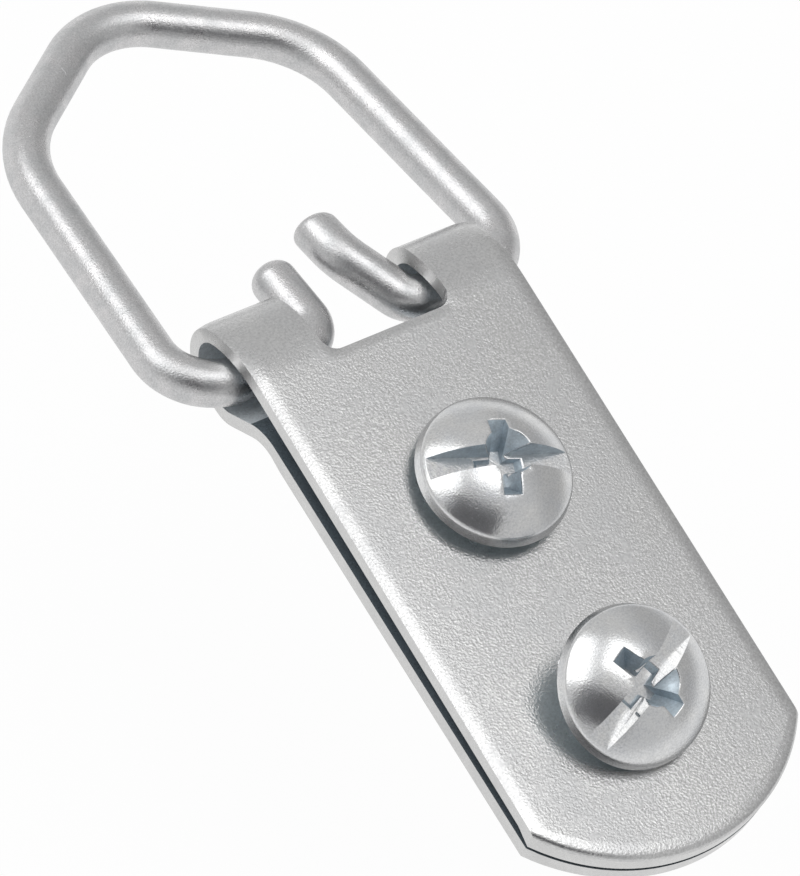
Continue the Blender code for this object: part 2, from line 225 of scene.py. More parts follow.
class HangerRingSizes(PropertyGroup):
    wire: length("Wire", "Diameter of the ring's wire", 2.35)
    side_clearance: length("Side clearance", "From the strap's side to the wire", 1.12)
    side_height: length("Side height", "From the hinge axis to the shoulders", 16.94)
    shoulder_inset: length("Shoulder inset", "How far the sides lean in", 1.31)
    roof_rise: length("Roof rise", "From the shoulders to the peak", 6.1)
    apex_shift: length("Peak shift", "Peak to the right of the middle", -0.34)
    left_dip: length("Left dip", "Left corner below the hinge axis", 0.55)
    right_dip: length("Right dip", "Right corner below the hinge axis", 0.3)
    base_lift: length("Base lift", "Feet of the free ends above the hinge axis", 0.12)
    corner_radius: length("Corner radius", "Bend at the ring's lower corners", 2.9)
    shoulder_radius: length("Shoulder radius", "Bend at the shoulders", 6.25)
    apex_radius: length("Peak radius", "Bend at the peak", 4.6)
    shift: length("Shift", "Sideways play taken up", -0.2)
    hang: turn("Hang", "How the ring hangs from the strap's plane", -12.4)
    stub_bend: length("Free end bend", "Bend at the feet of the free ends", 1.4)
    short_clearance: length("Short end clearance", "From the notch's side to the short free end", 0.43)
    short_height: length("Short end height", "From the hinge axis to the short end's tip", 4.94)
    long_inset: length("Long end inset", "Long end's foot inside the notch's side", 0.62)
    long_knee: length("Long end knee", "Height of the long end's second bend", 3.59)
    knee_bend: length("Knee bend", "Radius of the long end's second bend", 3.0)
    stub_gap: length("Free end gap", "Between the two free ends", 0.955)
    long_forward: length("Long end forward", "From the long end's foot forward to its knee", 0.9)
    long_tip: length("Long end tip", "From the knee to the tip", 2.15)
    tip_slant: length("Tip slant", "Sideways lean of the long end's tip", 0.2)
    tip_forward: length("Tip forward", "Forward lean of the long end's tip", 0.05)
    short_round: length("Short tip rounding", "Rounding of the short end's tip", 0.85)
    long_round: length("Long tip rounding", "Rounding of the long end's sheared tip", 0.42)


class HangerScrewSizes(PropertyGroup):
    head: length("Head", "Diameter of the head", 7.9)
    head_height: length("Head height", "From the head's underside to its crown", 2.25)
    rim_height: length("Rim height", "Height of the head's upright rim", 0.7)
    rim_taper: length("Rim taper", "How far the rim leans in", 0.12)
    rim_break: length("Rim break", "Rounding of the rim's edges", 0.12)
    slot_width: length("Slot width", "Width of the slot", 1.15)
    slot_depth: length("Slot depth", "Depth of the slot below the crown", 1.37)
    cross_span: length("Cross span", "Span of the cross recess at the crown", 4.65)
    cross_width: length("Cross width", "Width of the cross recess's wings at the crown", 1.0)
    cross_depth: length("Cross depth", "Depth of the cross recess below the crown", 1.75)
    cross_floor_span: length("Cross floor span", "Span of the cross recess at its floor", 1.9)
    cross_floor_width: length("Cross floor width", "Width of the wings at the floor", 0.6)
    flare: length("Recess flare", "Diameter of the cross recess's flared middle", 2.7)
    flare_shift: length("Flare shift", "How far the flare is worn towards one corner", 0.42)
    recess_break: length("Recess break", "Rounding of the cross's edges", 0.05)
    thread_length: length("Length", "From the head's underside to the tip", 12.7)
    thread: length("Thread", "Outside diameter of the thread", 3.9)
    thread_root: length("Thread root", "Diameter between the threads", 2.8)
    pitch: length("Pitch", "From thread to thread", 1.7)
    point_length: length("Point length", "Length of the tapered point", 3.6)
    point_tip: length("Point tip", "Radius of the point's tip", 0.3)
    upper_turn: turn("Upper slot", "Direction of the upper screw's slot", -20)
    lower_turn: turn("Lower slot", "Direction of the lower screw's slot", 27)
    upper_wear: turn("Upper wear", "Worn corner of the upper recess, from its slot", 45)
    lower_wear: turn("Lower wear", "Worn corner of the lower recess, from its slot", -45)


class HangerFinishes(PropertyGroup):
    face: colour("Strap face", "Satin plating on the strap's faces", 0.59, 0.59, 0.587)
    face_shade: colour("Strap face shade", "Duller patches on the strap's faces", 0.54, 0.542, 0.545)
    sheared: colour("Sheared edge", "Bright plating on the strap's sheared edges", 0.625, 0.625, 0.62)
    # The inside colour is painted shade: a dark bluish tone on the faces between the leaves, where the narrow
    # gap lies in shade.
    inside: colour("Inside", "Dark bluish plating between the leaves", 0.18, 0.22, 0.25)
    # The knuckle colour is painted light: a pale bluish, nearly matt tone that lightens the shaded inside of
    # the knuckles.
    knuckle: colour("Knuckle inside", "Bluish plating inside the knuckles", 0.82, 0.88, 0.92)
    wire: colour("Wire", "Plating on the ring's wire", 0.605, 0.598, 0.601)
    wire_shade: colour("Wire shade", "Duller patches on the wire", 0.52, 0.525, 0.53)
    screw: colour("Screw", "Bright plating on the screws", 0.68, 0.68, 0.675)
    screw_shade: colour("Screw shade", "Duller patches on the screws", 0.60, 0.61, 0.625)
    # The recess colour is bluish plating with painted shade: bluer and darker than the heads, as the hollows
    # look in shade.
    recess: colour("Recess", "Bluish plating in the screws' recesses", 0.55, 0.63, 0.69)
    # The underside colour is painted light: pale, matt and bluish, so that the strap mirrors a light bluish
    # crescent under each head.
    under: colour("Underside", "Bluish plating under the screws' heads", 0.78, 0.90, 0.96)
    face_roughness: share("Strap roughness", "Dullness of the strap's faces", 0.22)
    wire_roughness: share("Wire roughness", "Dullness of the wire", 0.24)
    screw_roughness: share("Screw roughness", "Dullness of the screws", 0.17)
    grain: length("Grain", "Size of the plating's crystals on the strap", 0.12)
    grain_depth: length("Grain depth", "Depth of the plating's crystals on the strap", 0.015)


class HangerStudio(PropertyGroup):
    azimuth: turn("Azimuth", "Direction of view about the upright axis", -59.144)
    elevation: turn("Elevation", "Height of the camera over the strap's plane", 55.638)
    roll: turn("Roll", "Turn of the camera about its line of sight", -31.277)
    distance: length("Distance", "From the camera to the point that it looks at", 283.336)
    target: FloatVectorProperty(
        name="Target", description="Point that the camera looks at",
        default=(-4.007 * MM, 8.802 * MM, 4.597 * MM), subtype="TRANSLATION", unit="LENGTH", precision=5,
    )
    overhead: level("Overhead light", "Brightness of the softbox overhead", 1.5)
    side: level("Side light", "Brightness of the softbox behind the ring's left", 1.5)
    room: level("Room", "Brightness of the room round the object", 0.7)
    room_dim: share("Room's dim side", "How far the room darkens to the strap's right", 0.25)
    floor_gap: length("Floor gap", "From the lower screw's point to the floor, below the hanging ring", 15.5)
    floor_white: share("Floor whiteness", "How far the floor turns to plain white", 0.95)


def faces_of(geometry):
    return [item for item in geometry if isinstance(item, bmesh.types.BMFace)]


def mesh_from(work, name, materials=()):
    """The finished mesh of a bmesh, with its normals outwards."""
    bmesh.ops.recalc_face_normals(work, faces=work.faces)
    mesh = bpy.data.meshes.new(name)
    work.to_mesh(mesh)
    work.free()
    for material in materials:
        mesh.materials.append(material)
    return mesh


def add_object(name, data):
    item = bpy.data.objects.new(name, data)
    bpy.context.scene.collection.objects.link(item)
    return item


def combine(name, mesh, cutters, operation="DIFFERENCE"):
    """The mesh with others cut out of it or joined to it, one after another."""
    body = add_object(name, mesh)
    tools = [add_object(cutter.name, cutter) for cutter in cutters]
    for tool in tools:
        step = body.modifiers.new(tool.name, "BOOLEAN")
        step.operation = operation
        step.solver = "EXACT"
        step.object = tool
    ready = body.evaluated_get(bpy.context.evaluated_depsgraph_get())
    result = bpy.data.meshes.new_from_object(ready)
    for item in (body, *tools):
        bpy.data.objects.remove(item, do_unlink=True)
    return result


def open_cut(mesh):
    """A cut mesh in an order that is the same in each run, which the cuts' own order isn't."""
    work = bmesh.new()
    work.from_mesh(mesh)
    work.verts.sort(key=lambda vert: vert.co.dot(LINE_UP))
    work.edges.sort(key=lambda edge: (edge.verts[0].co + edge.verts[1].co).dot(LINE_UP))
    work.faces.sort(key=lambda face: face.calc_center_median().dot(LINE_UP))
    return work


def clear_rims(work, rims, reach):
    """Merge the points close beside the rims into them, so that the rims break evenly."""
    found = {vert for edge in rims for vert in edge.verts}
    on_rim = sorted(found, key=lambda vert: vert.co.dot(LINE_UP))
    merged = {}
    for vert in on_rim:
        for edge in vert.link_edges:
            other = edge.other_vert(vert)
            if other not in found and edge.calc_length() < reach:
                merged[other] = vert
    bmesh.ops.weld_verts(work, targetmap=merged)
    bmesh.ops.remove_doubles(work, verts=[vert for vert in on_rim if vert.is_valid], dist=reach / 2)


def round_off(work, edges, offset, segments, **settings):
    """Round edges off, and give the new faces."""
    return bmesh.ops.bevel(
        work, geom=edges, offset=offset, offset_type="OFFSET", affect="EDGES", segments=segments,
        profile=0.5, material=-1, **settings,
    )["faces"]


def finish_piece(name, mesh, node, body):
    """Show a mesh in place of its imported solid, on the body that carries it."""
    mesh.shade_smooth()
    mesh.set_sharp_from_angle(angle=SHARP_ANGLE)
    piece = add_object(name, mesh)
    even = piece.modifiers.new("even_shading", "WEIGHTED_NORMAL")
    even.keep_sharp = True
    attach(piece, body)
    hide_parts(node)


class Sweep:
    """A profile of one or more faces, carried along straights and bends, with a closed solid behind it."""

    def __init__(self, work, place, heading):
        self.work = work
        self.start = list(work.faces)
        self.faces = self.start
        self.place = Vector(place)
        self.heading = Vector(heading).normalized()

    def move_on(self, faces):
        """Take up the new faces, and drop the old ones where they would lie inside the solid."""
        if self.faces is not self.start:
            bmesh.ops.delete(self.work, geom=self.faces, context="FACES")
        self.faces = faces

    def verts(self):
        return list({vert for face in self.faces for vert in face.verts})

    def straight(self, distance):
        self.move_on(faces_of(bmesh.ops.extrude_face_region(self.work, geom=self.faces)["geom"]))
        step = self.heading * distance
        bmesh.ops.translate(self.work, verts=self.verts(), vec=step)
        self.place += step

    def bend(self, towards, radius, angle):
        """Turn about a centre that lies on the given side of the path."""
        axis = self.heading.cross(towards).normalized()
        centre = self.place + towards.normalized() * radius
        spun = bmesh.ops.spin(
            self.work, geom=self.faces, cent=centre, axis=axis, angle=angle, steps=ceil(angle / BEND_STEP),
        )
        self.move_on(faces_of(spun["geom_last"]))
        rotation = Matrix.Rotation(angle, 3, axis)
        self.place = centre + rotation @ (self.place - centre)
        self.heading = rotation @ self.heading


def add_node(tree, kind, inputs=None, **settings):
    """A node with its settings made and its inputs set or linked."""
    node = tree.nodes.new(kind)
    for key, value in settings.items():
        setattr(node, key, value)
    for key, value in (inputs or {}).items():
        if isinstance(value, bpy.types.NodeSocket):
            tree.links.new(value, node.inputs[key])
        else:
            node.inputs[key].default_value = value
    return node


def calculate(tree, operation, *values):
    """The result of a math node on numbers or sockets."""
    return add_node(tree, "ShaderNodeMath", dict(enumerate(values)), operation=operation).outputs[0]


def map_range(tree, value, low, high, to_low=0, to_high=1, **settings):
    """A value that lies between two numbers, moved to lie between two others."""
    return add_node(tree, "ShaderNodeMapRange", {
        "Value": value, "From Min": low, "From Max": high, "To Min": to_low, "To Max": to_high,
    }, **settings).outputs[0]


def new_group(name, inputs, outputs):
    """A shader node group: the group, its input node and its output node."""
    group = bpy.data.node_groups.new(name, "ShaderNodeTree")
    for title, kind in inputs.items():
        group.interface.new_socket(name=title, in_out="INPUT", socket_type=kind)
    for title, kind in outputs.items():
        group.interface.new_socket(name=title, in_out="OUTPUT", socket_type=kind)
    return group, group.nodes.new("NodeGroupInput"), group.nodes.new("NodeGroupOutput")


def object_place(tree):
    return add_node(tree, "ShaderNodeTexCoord").outputs["Object"]


def per_metre(tree, size):
    """A texture's scale for a feature of a size in metres."""
    return calculate(tree, "DIVIDE", 1, size)


def plating_bloom():
    """Cloudy change of colour and dullness over a plated surface."""
    inputs = {
        "Light": "NodeSocketColor", "Shade": "NodeSocketColor", "Size": "NodeSocketFloat",
        "Bright Roughness": "NodeSocketFloat", "Dull Roughness": "NodeSocketFloat",
    }
    outputs = {"Color": "NodeSocketColor", "Roughness": "NodeSocketFloat"}
    group, given, result = new_group("plating_bloom", inputs, outputs)
    cloud = add_node(group, "ShaderNodeTexNoise", {
        "Vector": object_place(group), "Scale": per_metre(group, given.outputs["Size"]),
        "Detail": 5.0, "Roughness": 0.62,
    })
    spread = map_range(group, cloud.outputs["Fac"], 0.33, 0.67)
    mixed = add_node(group, "ShaderNodeMix", {
        "Factor": spread, "A": given.outputs["Shade"], "B": given.outputs["Light"],
    }, data_type="RGBA")
    dulled = map_range(
        group, spread, 0, 1, given.outputs["Dull Roughness"], given.outputs["Bright Roughness"],
    )
    group.links.new(mixed.outputs["Result"], result.inputs["Color"])
    group.links.new(dulled, result.inputs["Roughness"])
    return group


def plating_grain():
    """The plating's fine crystals: their height, and a tone that lightens or darkens the colour."""
    inputs = {"Size": "NodeSocketFloat", "Contrast": "NodeSocketFloat"}
    outputs = {"Height": "NodeSocketFloat", "Tone": "NodeSocketColor"}
    group, given, result = new_group("plating_grain", inputs, outputs)
    scale = per_metre(group, given.outputs["Size"])
    place = object_place(group)
    coarse = add_node(group, "ShaderNodeTexNoise", {
        "Vector": place, "Scale": scale, "Detail": 2.0, "Roughness": 0.6,
    })
    cells = add_node(group, "ShaderNodeTexVoronoi", {"Vector": place, "Scale": scale}, feature="SMOOTH_F1")
    both = calculate(group, "MULTIPLY_ADD", cells.outputs["Distance"], 0.35, coarse.outputs["Fac"])
    swing = map_range(group, coarse.outputs["Fac"], 0.3, 0.7, -1, 1)
    tone = calculate(group, "MULTIPLY_ADD", swing, given.outputs["Contrast"], 1)
    group.links.new(both, result.inputs["Height"])
    group.links.new(tone, result.inputs["Tone"])
    return group


def handling_marks():
    """Thin scratches in patches, as a mask."""
    inputs = {"Length": "NodeSocketFloat", "Width": "NodeSocketFloat", "Turn": "NodeSocketFloat"}
    group, given, result = new_group("handling_marks", inputs, {"Mask": "NodeSocketFloat"})
    turned = add_node(group, "ShaderNodeVectorRotate", {
        "Vector": object_place(group), "Angle": given.outputs["Turn"],
    }, rotation_type="Z_AXIS")
    along = per_metre(group, given.outputs["Length"])
    over = per_metre(group, given.outputs["Width"])
    stretch = add_node(group, "ShaderNodeCombineXYZ", {"X": along, "Y": over, "Z": over})
    drawn = add_node(group, "ShaderNodeVectorMath", {
        0: turned.outputs["Vector"], 1: stretch.outputs["Vector"],
    }, operation="MULTIPLY")
    streaks = add_node(group, "ShaderNodeTexNoise", {
        "Vector": drawn.outputs["Vector"], "Scale": 1.0, "Detail": 1.0,
    })
    lines = map_range(group, streaks.outputs["Fac"], 0.66, 0.74)
    patches = add_node(group, "ShaderNodeTexNoise", {"Vector": object_place(group), "Scale": along})
    where = map_range(group, patches.outputs["Fac"], 0.48, 0.6)
    group.links.new(calculate(group, "MULTIPLY", lines, where), result.inputs["Mask"])
    return group


def shared_group(name, make):
    return bpy.data.node_groups.get(name) or make()


def plated_material(name, light, shade, bloom, smooth, dull, depth, marks, **look):
    """Zinc plating: cloudy colour and dullness, crystal grain and thin scratches.

    The bloom is the clouds' size, smooth and dull are the ends of its roughness, depth is the grain's and
    marks is how deep the scratches go beside it. What isn't given is as in the plain look.
    """
    look = {**PLAIN_LOOK, **look}
    material = bpy.data.materials.new(name)
    material.use_nodes = True
    tree = material.node_tree
    shader = tree.nodes["Principled BSDF"]
    shader.inputs["Metallic"].default_value = look["metal"]
    clouds = add_node(tree, "ShaderNodeGroup", node_tree=shared_group("plating_bloom", plating_bloom))
    grain = add_node(tree, "ShaderNodeGroup", node_tree=shared_group("plating_grain", plating_grain))
    scratches = add_node(tree, "ShaderNodeGroup", node_tree=shared_group("handling_marks", handling_marks))
    values = {
        clouds: {
            "Light": (*light, 1), "Shade": (*shade, 1), "Size": bloom,
            "Bright Roughness": smooth, "Dull Roughness": dull,
        },
        grain: {"Size": look["grain"], "Contrast": look["contrast"]},
        scratches: {
            "Length": MARK_STRETCH * look["mark_width"],
            "Width": look["mark_width"],
            "Turn": look["mark_turn"],
        },
    }
    for node, settings in values.items():
        for key, value in settings.items():
            node.inputs[key].default_value = value
    toned = add_node(tree, "ShaderNodeMix", {
        "Factor": 1.0, "A": clouds.outputs["Color"], "B": grain.outputs["Tone"],
    }, data_type="RGBA", blend_type="MULTIPLY")
    height = calculate(tree, "MULTIPLY_ADD", scratches.outputs["Mask"], -marks, grain.outputs["Height"])
    bump = add_node(tree, "ShaderNodeBump", {"Strength": 1.0, "Distance": depth, "Height": height})
    tree.links.new(toned.outputs["Result"], shader.inputs["Base Color"])
    tree.links.new(clouds.outputs["Roughness"], shader.inputs["Roughness"])
    tree.links.new(bump.outputs["Normal"], shader.inputs["Normal"])
    return material


def darker(tint, factor):
    return [factor * value for value in tint]


def strap_materials(finishes):
    satin = finishes.face_roughness
    grain = {
        "grain": finishes.grain, "depth": finishes.grain_depth, "contrast": 0.13, "mark_width": 0.12 * MM,
    }
    hidden = {"smooth": satin, "dull": satin + 0.1, "marks": 0.2, "mark_turn": 0, **grain}
    face = plated_material(
        "zinc_strap_face", finishes.face, finishes.face_shade, bloom=3.5 * MM,
        smooth=satin, dull=satin + 0.08, marks=0.25, mark_turn=radians(35), **grain,
    )
    sheared = plated_material(
        "zinc_sheared_edge", finishes.sheared, finishes.face, bloom=1.2 * MM, smooth=satin, dull=satin + 0.1,
        depth=0.008 * MM, marks=0.2, grain=0.12 * MM, contrast=0.06, mark_turn=radians(90),
    )
    # Dark painted shade on the faces between the leaves.
    inside = plated_material(
        "painted_shade_between_leaves", finishes.inside, darker(finishes.inside, 0.8), bloom=2.0 * MM, metal=0.35, **hidden,
    )
    # Pale painted light inside the knuckles.
    knuckle = plated_material(
        "knuckle_painted_light", finishes.knuckle, darker(finishes.knuckle, 0.8), bloom=1.0 * MM, metal=0.15,
        **hidden,
    )
    return [sheared, face, inside, knuckle]


def wire_material(finishes):
    rough = finishes.wire_roughness
    return plated_material(
        "zinc_wire", finishes.wire, finishes.wire_shade, bloom=1.1 * MM, smooth=rough, dull=rough + 0.12,
        depth=0.015 * MM, marks=0.5, grain=0.085 * MM, contrast=0.16, mark_width=0.09 * MM,
        mark_turn=radians(75),
    )


def screw_materials(finishes):
    rough = finishes.screw_roughness
    bright = plated_material(
        "zinc_screw", finishes.screw, finishes.screw_shade, bloom=1.6 * MM, smooth=rough, dull=rough + 0.1,
        depth=0.006 * MM, marks=0.4, contrast=0.09, mark_turn=radians(20),
    )
    slot = plated_material(
        "zinc_slot", finishes.screw, finishes.screw_shade, bloom=0.5 * MM, smooth=rough, dull=rough + 0.1,
        depth=0.008 * MM, marks=0.6,
    )
    wall = plated_material(
        "zinc_slot_wall", finishes.screw, finishes.screw, bloom=0.5 * MM, smooth=0.08, dull=0.16,
        depth=0.003 * MM, marks=1.5, contrast=0.08, mark_width=0.06 * MM,
    )
    # Bluish plating with painted shade, for the cross recess and the upper slot's walls.
    recess = plated_material(
        "recess_painted_shade", finishes.recess, darker(finishes.recess, 0.75), bloom=0.5 * MM,
        smooth=rough + 0.12, dull=rough + 0.3, depth=0.012 * MM, marks=0.3, metal=0.6,
    )
    # Pale matt painted light under the heads.
    under = plated_material(
        "underside_painted_light", finishes.under, darker(finishes.under, 0.8), bloom=0.8 * MM,
        smooth=rough + 0.1, dull=rough + 0.25, depth=0.01 * MM, marks=0.3, mark_turn=0, metal=0,
    )
    return {
        # The upper slot's walls take the recess's painted shade; the lower slot's walls keep bright plating.
        "upper_screw": [bright, slot, recess, recess, under],
        "lower_screw": [bright, slot, wall, recess, under],
    }


def strap_end(sizes):
    """The end's corners along Y, and the centre and radius of its arc."""
    corners = STRAP_LOW.y + sizes.end_bow
    half = STRAP_HIGH.x
    radius = (half ** 2 + sizes.end_bow ** 2) / (2 * sizes.end_bow)
    return corners, Vector((0, STRAP_LOW.y + radius, 0)), radius


def front_height(sizes, y):
    """Height of the front leaf's outer face."""
    corners = strap_end(sizes)[0]
    return 2 * sizes.sheet + sizes.leaf_gap + (y - corners) * tan(sizes.leaf_angle)


def edge_roll(sizes, distance):
    """Drop of an outer face at a distance from its sheared edge."""
    return sizes.roll_drop * max(0, 1 - distance / sizes.roll_width) ** ROLL_STEEPNESS


def end_round(sizes, distance):
    """Further drop of the front leaf's face at a distance from its end: the tight round below the roll."""
    return sizes.round_drop * (1 - sqrt(1 - min(1, max(0, 1 - distance / sizes.round_width)) ** 2))


def strip_profile(work, sizes, outer):
    """The strip's cross-section on the XY plane, with finer steps and a rolled face towards its sides."""
    made = bmesh.ops.create_grid(work, x_segments=PROFILE_STEPS, y_segments=1, size=UNIT_GRID)["verts"]
    half = STRAP_HIGH.x
    for vert in made:
        side = 2 * vert.co.x
        spread = 1 - (1 - abs(side)) ** PROFILE_SPREAD
        vert[outer] = 1 if vert.co.y > 0 else 0
        vert.co.x = half * spread * (1 if side > 0 else -1)
        vert.co.y *= sizes.sheet
        if vert[outer]:
            vert.co.y -= edge_roll(sizes, half - abs(vert.co.x))
    return made


def folded_strip(sizes):
    """The strip from the front leaf's end, round the fold and back, with straight ends and uncut."""
    half_sheet = sizes.sheet / 2
    start_y = strap_end(sizes)[0]
    fold_bottom = STRAP_LOW.z + half_sheet
    fold_end = STRAP_HIGH.y - half_sheet
    crest_z = front_height(sizes, HINGE.y) - half_sheet
    slope = tan(sizes.leaf_angle)
    wide_drop = cos(sizes.leaf_angle) - cos(sizes.crest_turn)
    reach = sizes.crest_ratio * (sin(sizes.leaf_angle) + sin(sizes.crest_turn)) - sin(sizes.crest_turn) + 1
    drop = 1 + cos(sizes.crest_turn) + sizes.crest_ratio * wide_drop
    tight = (crest_z - fold_bottom + (fold_end - HINGE.y) * slope) / (drop + reach * slope)
    crest_start = fold_end - reach * tight
    bends = sizes.joggle_low_radius + sizes.joggle_high_radius
    rise = half_sheet - fold_bottom - bends * (1 - cos(sizes.joggle_angle))

    work = bmesh.new()
    outer = work.verts.layers.int.new("outer")
    made = strip_profile(work, sizes, outer)
    heading = Vector((0, cos(sizes.leaf_angle), sin(sizes.leaf_angle)))
    up = Vector((0, -heading.z, heading.y))
    start = Vector((0, start_y, front_height(sizes, start_y) - half_sheet))
    stand = Matrix((Vector((1, 0, 0)), up, heading)).transposed().to_4x4()
    bmesh.ops.transform(work, matrix=Matrix.Translation(start) @ stand, verts=made)
    strip = Sweep(work, start, heading)
    rows = [sizes.roll_width * step for step in END_ROWS]

    def down_side():
        return strip.heading.cross(Vector((1, 0, 0)))

    for row in rows:
        strip.straight(row)
    strip.straight((crest_start - sizes.notch_roll - strip.place.y) / heading.y)
    for step in NOTCH_ROWS:
        strip.straight(sizes.notch_roll * step / heading.y)
    strip.bend(down_side(), sizes.crest_ratio * tight, sizes.crest_turn + sizes.leaf_angle)
    strip.bend(down_side(), tight, pi - sizes.crest_turn)
    strip.straight(strip.place.y - HINGE.y + sizes.joggle_lead)
    strip.bend(down_side(), sizes.joggle_low_radius, sizes.joggle_angle)
    strip.straight(rise / sin(sizes.joggle_angle))
    strip.bend(-down_side(), sizes.joggle_high_radius, sizes.joggle_angle)
    flat_start = strip.place.y - sizes.roll_width
    strip.straight(sizes.roll_width)
    strip.straight(flat_start - start_y - sum(rows))
    for row in reversed(rows):
        strip.straight(row)
    for face in work.faces:
        marked = sum(vert[outer] for vert in face.verts)
        if marked == len(face.verts):
            face.material_index = FACE
        elif marked == 0:
            # Faces between the leaves, away from the knuckles, take the dark painted shade.
            in_knuckle = face.calc_center_median().y > HINGE.y - sizes.knuckle_inside
            # Faces in the knuckles take the pale painted light.
            face.material_index = KNUCKLE if in_knuckle else INSIDE
        else:
            face.material_index = SHEARED
    lay_flat(work, sizes, outer, flat_start)
    roll_notch(work, sizes, outer)
    shape_ends(work, sizes, outer, sum(rows))
    return work


def lay_flat(work, sizes, outer, start):
    """Take most of the roll off the back leaf's outer face, which was pressed flat."""
    for vert in work.verts:
        if vert[outer] and vert.co.y < start + MERGE_DISTANCE and vert.co.z < sizes.sheet / 2:
            vert.co.z *= BACK_ROLL


def roll_notch(work, sizes, outer):
    """Roll the front leaf's face over along the notch's foot, fading out towards the notch's corners."""
    foot = strap_end(sizes)[0] + sizes.leaf_length
    for vert in work.verts:
        inwards = foot - vert.co.y
        if vert[outer] and vert.co.z > sizes.sheet and abs(inwards) < sizes.notch_roll:
            inset = min(1, max(0, (sizes.notch_width / 2 - abs(vert.co.x)) / sizes.notch_fillet))
            roll = (1 - max(0, inwards) / sizes.notch_roll) ** ROLL_STEEPNESS
            vert.co.z -= inset * sizes.notch_drop * roll


def shape_ends(work, sizes, outer, depth):
    """Bow both leaves' ends out to the arc, roll their faces over and drag the front one down."""
    corners, centre, radius = strap_end(sizes)
    middle = sizes.sheet + sizes.leaf_gap / 2
    for vert in work.verts:
        inwards = vert.co.y - corners
        if inwards > depth + MERGE_DISTANCE:
            continue
        across = abs(vert.co.x)
        steep = sqrt(radius ** 2 - across ** 2) / radius
        vert.co.y += centre.y - corners - radius * steep - sizes.end_reach
        front = vert.co.z > middle
        if vert[outer]:
            side = STRAP_HIGH.x - across
            sag = edge_roll(sizes, min(side, inwards * steep)) - edge_roll(sizes, side)
            vert.co.z += -sag - end_round(sizes, inwards * steep) if front else sag * BACK_ROLL
        elif front:
            drag = max(0, 1 - inwards * steep / sizes.lip_width)
            vert.co.z -= drag * (vert.co.z - sizes.sheet - sizes.lip_gap)


def notch_cutter(sizes):
    foot = strap_end(sizes)[0] + sizes.leaf_length
    top = STRAP_HIGH.y + CUT_MARGIN
    low = STRAP_LOW.z - CUT_MARGIN
    high = front_height(sizes, HINGE.y) + CUT_MARGIN
    work = bmesh.new()
    made = bmesh.ops.create_cube(work, size=1)["verts"]
    bmesh.ops.scale(work, vec=(sizes.notch_width, top - foot, high - low), verts=made)
    bmesh.ops.translate(work, vec=(0, (top + foot) / 2, (high + low) / 2), verts=made)
    upright = [
        edge for edge in work.edges
        if all(abs(vert.co.y - foot) < MERGE_DISTANCE for vert in edge.verts)
        and abs(edge.verts[0].co.z - edge.verts[1].co.z) > CUT_MARGIN
    ]
    round_off(work, upright, sizes.notch_fillet, FILLET_STEPS)
    return mesh_from(work, "cut_notch")


def hole_cutter(sizes, name, y):
    work = bmesh.new()
    low = STRAP_LOW.z - CUT_MARGIN
    high = front_height(sizes, HINGE.y) + CUT_MARGIN
    bmesh.ops.create_cone(
        work, cap_ends=True, segments=HOLE_SIDES, radius1=sizes.hole / 2, radius2=sizes.hole / 2,
        depth=high - low, matrix=Matrix.Translation((0, y, (high + low) / 2)),
    )
    return mesh_from(work, name)


class HANGER_OT_strap(Operator):
    """Fold the strip, bow its ends, roll its edges and cut its notch and holes"""
    bl_idname = "hanger.strap"
    bl_label = "Strap"

    def execute(self, context):
        sizes = context.scene.hanger_strap
        materials = strap_materials(context.scene.hanger_finishes)
        corners = strap_end(sizes)[0]
        lower = corners + sizes.lower_hole
        cutters = [
            notch_cutter(sizes), hole_cutter(sizes, "cut_lower_hole", lower),
            hole_cutter(sizes, "cut_upper_hole", lower + sizes.hole_spacing),
        ]
        mesh = combine("strip", mesh_from(folded_strip(sizes), "strip", materials), cutters)
        work = open_cut(mesh)
        bmesh.ops.dissolve_degenerate(work, edges=work.edges, dist=STRAP_SLIVER)
        finish_piece("strap", mesh_from(work, "strap", materials), "hanger_strap", "strap")
        return {"FINISHED"}


def ring_corners(sizes, strap):
    """Corners of the wire's middle and their radii, in the ring's plane with the hinge axis at zero."""
    half_wire = sizes.wire / 2
    base = STRAP_HIGH.x + sizes.side_clearance + half_wire
    shoulder = base - sizes.shoulder_inset
    short_x = -strap.notch_width / 2 + sizes.short_clearance + half_wire - sizes.shift
    long_x = strap.notch_width / 2 - sizes.long_inset - sizes.shift
    knee = Vector((short_x + sizes.wire + sizes.stub_gap, sizes.long_knee, sizes.long_forward))
    corners = [
        Vector((short_x, sizes.short_height, 0)),
        Vector((short_x, sizes.base_lift, 0)),
        Vector((-base, -sizes.left_dip, 0)),
        Vector((-shoulder, sizes.side_height, 0)),
        Vector((sizes.apex_shift, sizes.side_height + sizes.roof_rise, 0)),
        Vector((shoulder, sizes.side_height, 0)),
        Vector((base, -sizes.right_dip, 0)),
        Vector((long_x, sizes.base_lift, 0)),
        knee,
        knee + Vector((-sizes.tip_slant, sizes.long_tip, sizes.tip_forward)),
    ]
    radii = [
        sizes.stub_bend, sizes.corner_radius, sizes.shoulder_radius, sizes.apex_radius,
        sizes.shoulder_radius, sizes.corner_radius, sizes.stub_bend, sizes.knee_bend,
    ]
    return corners, radii


def bent_wire(work, corners, radii, wire):
    """Round wire through the corners: its first and its last face are its two cut ends."""
    heading = (corners[1] - corners[0]).normalized()
    stand = Vector((0, 0, 1)).rotation_difference(heading).to_matrix().to_4x4()
    bmesh.ops.create_circle(
        work, cap_ends=True, segments=WIRE_SIDES, radius=wire / 2,
        matrix=Matrix.Translation(corners[0]) @ stand,
    )
    path = Sweep(work, corners[0], heading)
    for before, corner, after, radius in zip(corners, corners[1:], corners[2:], radii):
        inward = (before - corner).normalized()
        outward = (after - corner).normalized()
        angle = inward.angle(outward)
        setback = radius / tan(angle / 2)
        path.straight((corner - path.place).length - setback)
        towards = outward - path.heading * outward.dot(path.heading)
        path.bend(towards, radius, pi - angle)
    path.straight((corners[-1] - path.place).length)
    return path.start[0], path.faces[0]


